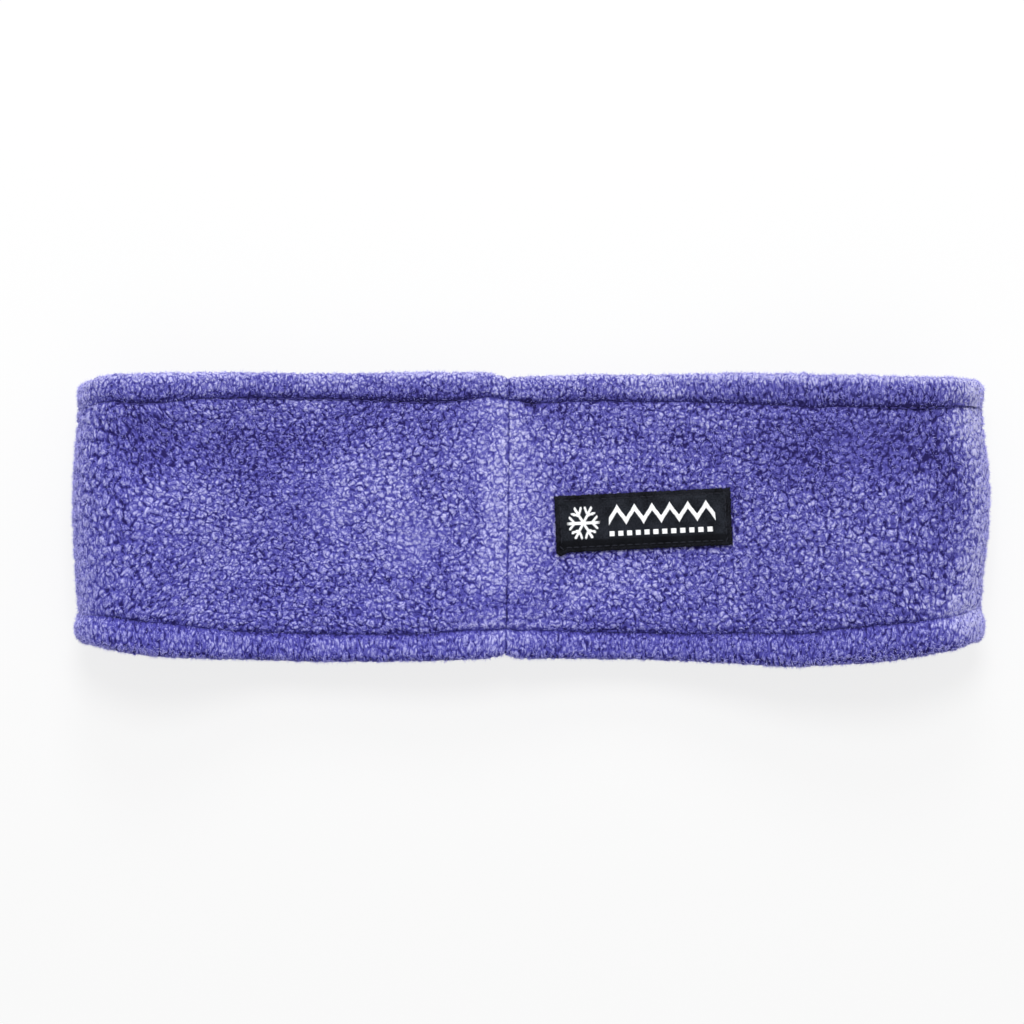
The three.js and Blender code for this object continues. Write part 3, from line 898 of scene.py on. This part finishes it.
def make_hem(hem):
    """A turned edge: a soft roll between its stitch line and the band's edge."""
    place = places(spread(top=0.42, fold=0.6, floor=1.6, seam=0.12))
    wide = across_band(place)
    shown, hidden = 34, 12
    over = np.linspace(0, math.pi, shown, endpoint=False)
    back = np.linspace(math.pi, 2 * math.pi, hidden, endpoint=False)
    angle = np.concatenate([over, back])
    from_seam = seam_distance(wide)
    drawn_in = 0.5 * dip(from_seam, 3.0)
    if hem.side > 0:
        low, high = wide.top_stitch, wide.top - drawn_in
    else:
        low, high = wide.bottom + drawn_in, wide.bottom_stitch
    y = low + (high - low) * (1 - squared(np.cos(angle))) / 2
    from_stitch = (y - low) if hem.side > 0 else (high - y)
    raised = np.maximum(np.sin(angle), 0)

    busy = hem.creased[0] + hem.creased[1] * ease(wide.x, 10, 70)
    fold = creases(wide.s + 0.7 * ripple(y, 8, 3, 40 + hem.side), spacing=3.1, reach=1.0, seed=20 + hem.side)
    fold = fold * busy * dip(np.abs(from_stitch - 1.5), 6.5)
    out = squared(np.sin(angle)) * HEM_THICKNESS / 2 - HEM_THICKNESS / 2
    filled = 0.8 * wide.out_x**2 - HEM_GROOVE
    out = np.where((angle < math.pi) & (from_stitch < HEM_WIDTH / 2), np.maximum(out, filled), out)
    out = out + (HEM_PUFF - 0.55 * fold - 0.9 * seam_groove(wide, y)) * raised + fold_swell(wide, y)
    points = points_at(wide, y, out)

    step = np.linalg.norm(np.diff(np.concatenate([points, points[:, :1]], axis=1), axis=1), axis=2)
    drawn = hem.drawn[0] + hem.drawn[1] * ease(wide.x, 10, 80)
    t = np.concatenate([0 * step[:, :1], np.cumsum(step, axis=1)], axis=1) * drawn + PATTERN_APART * hem.side
    slit_shade = 0.6 * bell(from_seam, 0.3)
    at_edge = ease(from_stitch, 0.55 * HEM_WIDTH, HEM_WIDTH)
    in_groove = (1 - wide.out_x**2) * dip(from_stitch, 5.5)
    # Painted light on the hem: a painted highlight at the upper hem's edge and painted shade at the lower
    # one's, painted shade in the upper groove and in the creases.
    hem_painted_light = hem.light + hem.edge * at_edge + hem.groove * in_groove - 0.6 * fold
    # hollow: painted shade in the seam's slit, the pinch and the stitch groove. light: painted light and
    # shade.
    values = {
        "nap": 0.28 + 0.45 * ease(from_stitch, 0.0, 1.2) * ease(from_seam, 0.1, 0.9),
        "hollow": np.maximum(np.maximum(slit_shade, 1.4 * pinches(wide, y)), groove_shade(from_stitch, wide)),
        "light": painted_pile_light(wide, y) + hem_painted_light,
        "fuzz": (0.12 + 0.88 * wide.upper) * (raised > 0.02) * ease(from_stitch, -0.1, 0.4),
        "halo": np.maximum(at_edge**2, wide.out_x**4) * (angle < 1.15 * math.pi),
    }
    values = {key: level + 0 * out for key, level in values.items()}
    return swept_mesh(points, place, t, values, fineness=1.4)


def label_surface(along, across, rise):
    """Points over the fleece where the label lies, from places on the label's own plan."""
    along, across = np.broadcast_arrays(along, across)
    x, y = label_point(along, across)
    right = (LINE_Z > BETWEEN_LAYERS) & (LINE_LENGTH < LOOP_LENGTH / 3)
    place = places(np.interp(x.ravel(), LINE_X[right], LINE_LENGTH[right]))
    place = SimpleNamespace(**{name: values.reshape(x.shape) for name, values in vars(place).items()})
    middle = (place.top_stitch + place.bottom_stitch) / 2
    half = (place.top_stitch - place.bottom_stitch) / 2
    seat = CROWN * (1 - ((y - middle) / half) ** 2) + LABEL.seat + 0.5 * hump(across, LABEL.width)
    slack = 0.14 * ripple(along + 2 * across, 23, 3, 6)
    return points_at(place, y, seat + slack + rise)


def label_rise(along):
    """The label's thickness. It is doubled where the ends are folded under."""
    in_fold = LABEL_FOLD.length - LABEL.length / 2 + np.abs(along)
    return LABEL.thickness + LABEL_FOLD.rise * ease(in_fold, 0, 0.8)


def make_label():
    """The woven label: a thin strip over the fleece, with its ends folded under and one corner loose."""
    along = np.linspace(-0.5, 0.5, 129)[:, None] * LABEL.length
    across = np.linspace(-0.5, 0.5, 41)[None, :] * LABEL.width
    inset = np.minimum(LABEL.length / 2 - np.abs(along), LABEL.width / 2 - np.abs(across))
    rise = label_rise(along) - 0.3 * dip(inset, 0.5) - 0.25 * hump(inset - THREAD.inset, 0.6)
    corner = np.maximum(0, 1 - np.abs(along + LABEL.length / 2 - 1.3) / 1.5)
    flap = corner * ease(-across - LABEL.width / 2, -1.6, 0)
    ragged = 0.2 * ripple(along, 3.1, 4, 31) * (np.abs(across) > 0.49 * LABEL.width)
    across = across - 1.1 * flap + ragged
    along = along + 0.2 * ripple(across, 2.6, 4, 32) * (np.abs(along) > 0.49 * LABEL.length)
    over = label_surface(along, across, rise)
    under = label_surface(along, across, 0 * rise)
    frayed = (ease(inset, 0.9, 0.1) + 0 * over[..., 0]).ravel()
    return shell_mesh(over, under, along, across, {"fuzz": np.concatenate([frayed, 0 * frayed])})


def shell_mesh(over, under, along, across, values):
    """A closed shell of an upper and a lower grid of points, joined round their rim."""
    rows, columns = over.shape[:2]
    below = rows * columns
    grid = np.arange(below).reshape(rows, columns)
    quads = np.stack([grid[:-1, :-1], grid[1:, :-1], grid[1:, 1:], grid[:-1, 1:]], axis=-1).reshape(-1, 4)
    rim = np.concatenate([grid[:-1, 0], grid[-1, :-1], grid[:0:-1, -1], grid[0, :0:-1]])
    after = np.roll(rim, -1)
    walls = np.stack([rim, rim + below, after + below, after], axis=-1)
    faces = np.concatenate([quads, quads[:, ::-1] + below, walls])
    points = np.concatenate([over.reshape(-1, 3), under.reshape(-1, 3)])
    plan = np.stack(np.broadcast_arrays(along, across), axis=-1).reshape(-1, 2)
    return plain_mesh(points, faces, {"cloth": np.concatenate([plan, plan])[faces.ravel()]}, values)


def label_material():
    material, graph, shader = shader_graph("Woven label")
    cloth = graph.painted("cloth", "Vector")
    weft_inputs = {"Vector": cloth, "Scale": 1.3, "Distortion": 1.0}
    weft = graph.node("ShaderNodeTexWave", {"bands_direction": "Y"}, weft_inputs)
    fuzz = graph.noise(cloth, 0.45, detail=3.0, roughness=0.7)
    worn = graph.noise(cloth, 4.0)
    level = weft * 0.2 + fuzz * 0.9 + (worn - 0.5) * 0.6
    along = cloth.part("X")
    across = along.sibling("Y")
    inset_along = LABEL.length / 2 - along.math("ABSOLUTE")
    inset_across = LABEL.width / 2 - across.math("ABSOLUTE")
    inset = inset_along.math("MINIMUM", inset_across) + (fuzz - 0.5) * 2.0
    middle = graph.mix(level.step(0.2, 1.0), *LABEL_MIDDLE)
    rim = graph.mix(level.step(0.3, 0.8), *LABEL_RIM)
    tone = graph.mix(inset.step(0.5, 1.7), rim, middle)
    strip = across.step(*LABEL_STRIP.top, 1.0, 0.0) * across.step(*LABEL_STRIP.bottom, 0.2, 1.0)
    bump_inputs = {"Strength": 0.8, "Distance": 0.25 * MM, "Height": level}
    inputs = {
        "Base Color": graph.mix(strip * (0.55 + fuzz * 0.3), tone, LABEL_STRIP_TONE),
        "Normal": graph.node("ShaderNodeBump", None, bump_inputs, "Normal"),
        "Roughness": 0.8,
        "Specular IOR Level": 0.08,
    }
    graph.feed(shader, inputs)
    return material


def near_line(x, y, ax, ay, bx, by):
    """Distances from points to a straight line between two ends."""
    run, climb = bx - ax, by - ay
    share = np.clip(((x - ax) * run + (y - ay) * climb) / (run**2 + climb**2), 0, 1)
    return np.hypot(x - ax - share * run, y - ay - share * climb)


def in_crystal(x, y):
    """Where the snow crystal's six arms and their branches are."""
    x, y = x - ORNAMENT.crystal_at, y - ORNAMENT.crystal_up
    angle = np.arctan2(y, x)
    radius = np.hypot(x, y)
    sixth = math.pi / 3
    turn = np.abs((angle + sixth / 2) % sixth - sixth / 2)
    along, aside = radius * np.cos(turn), radius * np.sin(turn)
    arm = near_line(along, aside, 0.0, 0.0, ORNAMENT.arm, 0.0) < 0.42
    branch = near_line(along, aside, 0.52 * ORNAMENT.arm, 0.0, 0.84 * ORNAMENT.arm, 1.5) < 0.36
    return arm | branch


def in_borders(x, y):
    """Where the zigzag and the row of dashes below it are."""
    start, end = ORNAMENT.zigzag_at
    inside = (x > start) & (x < end)
    wave = (end - start) / 6
    share = ((x - start) / wave) % 1
    crest = ORNAMENT.zigzag_up + ORNAMENT.rise * (1 - 4 * np.abs(share - 0.5))
    slope = 4 * ORNAMENT.rise / wave
    zigzag = np.abs(y - crest) < 0.62 * math.hypot(1, slope)
    dash = (np.abs(y - ORNAMENT.zigzag_up + 5.1) < 0.65) & ((x - start) / (wave / 2) % 1 < 0.66)
    return inside & (zigzag | dash)


def make_ornament():
    """White weft floats: one flat rounded bar for each run of the ornament in each row of the weave."""
    columns = np.arange(-0.46 * LABEL.length, 0.46 * LABEL.length, 0.05)
    starts, ends, rows = [], [], []
    for row in np.arange(-0.4 * LABEL.width, 0.4 * LABEL.width, WEFT.pitch):
        shown = in_crystal(columns, row) | in_borders(columns, row)
        edges = np.flatnonzero(np.diff(np.concatenate([[0], shown.astype(int), [0]])))
        starts.extend(columns[edges[::2]])
        ends.extend(columns[np.minimum(edges[1::2], len(columns) - 1)])
        rows.extend([row] * (len(edges) // 2))
    starts, ends, rows = (np.array(values)[:, None, None] for values in (starts, ends, rows))
    share = np.array([0, 0.12, 0.5, 0.88, 1])[None, :, None]
    swell = np.array([0.25, 1, 1.08, 1, 0.25])[None, :, None]
    angle = np.linspace(0, 2 * math.pi, 6, endpoint=False)[None, None, :]
    along = starts + (ends - starts) * share + 0 * angle
    across = rows + 0.62 * WEFT.pitch * swell * np.cos(angle)
    rise = label_rise(along) - 0.03 + 0.5 * WEFT.height * swell * np.sin(angle)
    points = label_surface(along, across, rise)
    return tubes_mesh(points)


def tubes_mesh(points):
    """Closed tubes. The axes of points are the tube, the ring along it and the corner in the ring."""
    tubes, rings, corners = points.shape[:3]
    index = np.arange(tubes * rings * corners).reshape(tubes, rings, corners)
    around = np.roll(index, -1, axis=2)
    walls = np.stack([index[:, :-1], index[:, 1:], around[:, 1:], around[:, :-1]], axis=-1).reshape(-1, 4)
    half = corners // 2
    caps = []
    for ring, order in ((0, 1), (-1, -1)):
        for j in range(half - 1):
            corner = [index[:, ring, k] for k in (j, j + 1, corners - 2 - j, corners - 1 - j)]
            caps.append(np.stack(corner[::order], axis=-1))
    faces = np.concatenate([walls, *caps])
    return plain_mesh(points.reshape(-1, 3), faces)


def line_mesh(points):
    """A closed line of edges through points in millimetres."""
    mesh = bpy.data.meshes.new("line")
    count = len(points)
    edges = [(i, (i + 1) % count) for i in range(count)]
    mesh.from_pydata([tuple(point) for point in points * MM], edges, [])
    return mesh


def label_stitch_line():
    """The line of the stitches that hold the label, a little way in from its edges."""
    half_length, half_width = LABEL.length / 2 - THREAD.inset, LABEL.width / 2 - THREAD.inset
    run = np.linspace(-1, 1, 60)
    short = np.linspace(-1, 1, 20)
    along = np.concatenate([run, 0 * short[1:-1] + 1, -run, 0 * short[1:-1] - 1]) * half_length
    across = np.concatenate([0 * run - 1, short[1:-1], 0 * run + 1, -short[1:-1]]) * half_width
    return label_surface(along, across, label_rise(along) - 0.12)


def hem_stitch_line(hem):
    """The line of the stitches at the bottom of a hem's groove."""
    place = across_band(places(np.linspace(0, LOOP_LENGTH, 900, endpoint=False)))
    stitch = place.top_stitch if hem.side > 0 else place.bottom_stitch
    return points_at(place, stitch - 0.3 * hem.side, -TUCK.depth - CREVICE.depth - 0.05)[:, 0]


fleece = fleece_material("Fleece")
curled = plain_material("Curled fleece fibres", (0.125, 0.118, 0.43, 1), 0.9)
# The loose fibres and those at the edges are paler than the fleece: painted sheen on the fibres that stand
# out of the pile.
loose = plain_material("Loose fleece fibres", (0.31, 0.305, 0.7, 1), 0.9)
edge_fibres = plain_material("Fleece fibres at the edges", (0.42, 0.41, 0.78, 1), 0.9)
dark_thread = plain_material("Indigo thread", (0.06, 0.052, 0.24, 1), 0.6)
black_thread = plain_material("Black thread", (0.018, 0.019, 0.026, 1), 0.6)
white_yarn = plain_material("White yarn", (0.84, 0.85, 0.87, 1), 0.7, sheen=0.1)

pile = pile_tree(fleece)
fibre_layers = {
    "fuzz": fibre_tree("Loose fibres", loose, FIBRE, FIXED_SEED),
    "tufts": fibre_tree("Curled tufts", curled, TUFT, FIXED_SEED + 10),
    "halo": fibre_tree("Standing fibres", edge_fibres, HALO, FIXED_SEED + 20, "halo"),
}
frayed_edge = fibre_tree("Frayed edge", black_thread, FRAY, FIXED_SEED + 30)
hem_stitches = stitch_tree("Hem stitches", dark_thread, HEM_THREAD)
label_stitches = stitch_tree("Label stitches", black_thread, THREAD)


def fleece_pieces(name, mesh):
    """A piece of fleece with its pile raised, and its layers of fibres."""
    piece = grown(name, mesh, pile)
    layers = [grown(f"{name}_{layer}", piece.data.copy(), tree) for layer, tree in fibre_layers.items()]
    return [piece, *layers]


panel, *panel_fibres = fleece_pieces("fleece_panel", make_panel())
upper_roll = fleece_pieces("upper_roll", make_hem(UPPER_HEM))
lower_roll = fleece_pieces("lower_roll", make_hem(LOWER_HEM))
upper_thread = grown("upper_thread", line_mesh(hem_stitch_line(UPPER_HEM)), hem_stitches)
lower_thread = grown("lower_thread", line_mesh(hem_stitch_line(LOWER_HEM)), hem_stitches)
label = placed("woven_label", make_label(), label_material())
ornament = placed("label_ornament", make_ornament(), white_yarn)
label_thread = grown("label_thread", line_mesh(label_stitch_line()), label_stitches)
label_fray = grown("label_fray", label.data.copy(), frayed_edge)


# Stage.
def make_stage():
    floor_material, graph, shader = shader_graph("Pale floor")
    up = graph.node("ShaderNodeTexCoord", None, None, "Object").part("Y")
    # Painted light: the floor glows, a little brighter towards +Y where the lamps are.
    inputs = {
        "Emission Color": graph.mix(up.step(-0.13, 0.06), (0.97, 0.97, 0.97, 1), (1.0, 1.0, 1.0, 1)),
        "Emission Strength": 0.79,
        "Base Color": (0.15, 0.15, 0.15, 1),
        "Roughness": 0.9,
        "Specular IOR Level": 0.0,
    }
    graph.feed(shader, inputs)
    half, level = 1500, -0.05
    corners = [(-half, -half, level), (half, -half, level), (half, half, level), (-half, half, level)]
    floor = placed("floor", plain_mesh(corners, np.array([[0, 1, 2, 3]])), floor_material)


def add_light(name, azimuth, elevation, distance, size, power):
    """A soft lamp that looks at the band. Azimuth is measured from +Y towards +X."""
    data = bpy.data.lights.new(name, "AREA")
    data.shape, data.size, data.energy = "DISK", size, power
    lamp = bpy.data.objects.new(name, data)
    turn, rise = math.radians(azimuth), math.radians(elevation)
    flat = math.cos(rise)
    lamp.location = distance * Vector((math.sin(turn) * flat, math.cos(turn) * flat, math.sin(rise)))
    lamp.rotation_euler = (-lamp.location).to_track_quat("-Z", "Y").to_euler()
    bpy.context.scene.collection.objects.link(lamp)


def add_camera():
    """Looks straight down, with the band a little right of and below the middle of the picture."""
    height, level = 1.0, 0.02
    picture_width = 0.2775
    data = bpy.data.cameras.new("camera")
    data.sensor_width = 36.0
    data.lens = data.sensor_width * (height - level) / picture_width
    camera = bpy.data.objects.new("camera", data)
    camera.location = (-0.0050, 0.0018, height)
    bpy.context.scene.collection.objects.link(camera)
    bpy.context.scene.camera = camera


def light_scene():
    scene = bpy.context.scene
    scene.view_settings.view_transform = "Standard"
    world = bpy.data.worlds.new("Soft daylight")
    scene.world = world
    world.use_nodes = True
    sky = next(node for node in world.node_tree.nodes if node.type == "BACKGROUND")
    sky.inputs["Color"].default_value = (1.0, 1.0, 1.0, 1)
    sky.inputs["Strength"].default_value = 0.62
    add_light("high window", azimuth=0, elevation=62, distance=1.4, size=0.5, power=12.0)
    add_light("low window", azimuth=0, elevation=34, distance=1.4, size=0.5, power=7.0)


make_stage()
add_camera()
light_scene()

pieces = {
    "band_panel": [panel, *panel_fibres],
    "upper_hem": [*upper_roll, upper_thread],
    "lower_hem": [*lower_roll, lower_thread],
    "label": [label, ornament, label_thread, label_fray],
}
for node, group in pieces.items():
    for piece in group:
        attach(piece, "root")
        "woven_label" if node == "label" else "fleece"
    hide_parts(node)
LOOP_LENGTH * MM
